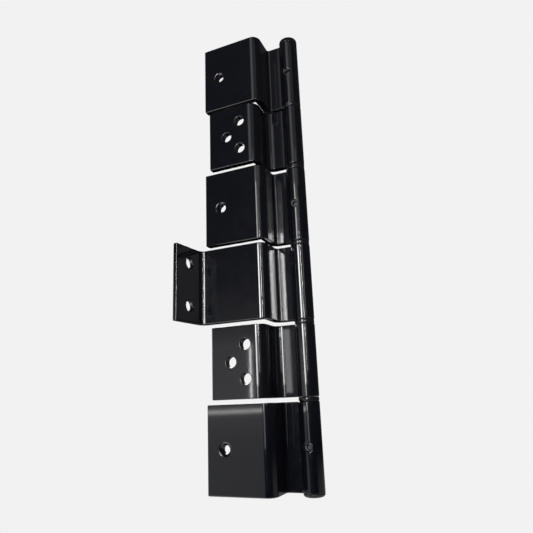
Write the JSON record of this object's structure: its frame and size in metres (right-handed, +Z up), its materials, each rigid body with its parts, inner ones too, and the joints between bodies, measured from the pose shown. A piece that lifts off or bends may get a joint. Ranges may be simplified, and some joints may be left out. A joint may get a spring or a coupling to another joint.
{
  "type": "folding door pivot hinge",
  "caption": "Gloss black multi-leaf pivot hinge: cranked leaves stacked on a long pin, some clamped to it by set screws, others swinging on bushes, one with a forward flange.",
  "frame": {"origin": "on the pin's axis, level with the lower end of the bottom leaf", "axes": "+Z up along the pin; the leaves point along -X and their plates stand forward, towards -Y"},
  "size_m": [0.0727, 0.0524, 0.3059],
  "materials": {
    "black_coat": "gloss",
    "pin_steel": "satin",
    "screw_steel": "satin",
    "black_nylon": "satin",
    "cap_plastic": "satin"
  },
  "bodies": {
    "pin_and_clamped_leaves": {"hinge_pin": "pin_steel", "top_clamped_leaf": "black_coat", "middle_clamped_leaf": "black_coat", "bottom_clamped_leaf": "black_coat", "top_set_screw": "screw_steel", "middle_set_screw": "screw_steel", "bottom_set_screw": "screw_steel", "washer_under_top": "black_nylon", "washer_over_middle": "black_nylon", "washer_under_middle": "black_nylon", "washer_under_pull": "black_nylon", "washer_over_bottom": "black_nylon", "top_end_cap": "cap_plastic", "bottom_end_cap": "cap_plastic"},
    "upper_swing": {"upper_swing_leaf": "black_coat", "upper_swing_top_bush": "black_nylon", "upper_swing_bottom_bush": "black_nylon"},
    "pull": {"pull_leaf": "black_coat", "pull_top_bush": "black_nylon", "pull_bottom_bush": "black_nylon"},
    "lower_swing": {"lower_swing_leaf": "black_coat", "lower_swing_top_bush": "black_nylon", "lower_swing_bottom_bush": "black_nylon"}
  },
  "joints": [
    {"name": "upper_swing_pivot", "type": "hinge", "parent": "pin_and_clamped_leaves", "child": "upper_swing", "pos_m": [0, 0, 0.2261], "axis": [0, 0, 1], "continuous": true},
    {"name": "pull_pivot", "type": "hinge", "parent": "pin_and_clamped_leaves", "child": "pull", "pos_m": [0, 0, 0.1234], "axis": [0, 0, 1], "continuous": true},
    {"name": "lower_swing_pivot", "type": "hinge", "parent": "pin_and_clamped_leaves", "child": "lower_swing", "pos_m": [0, 0, 0.0749], "axis": [0, 0, 1], "continuous": true}
  ]
}
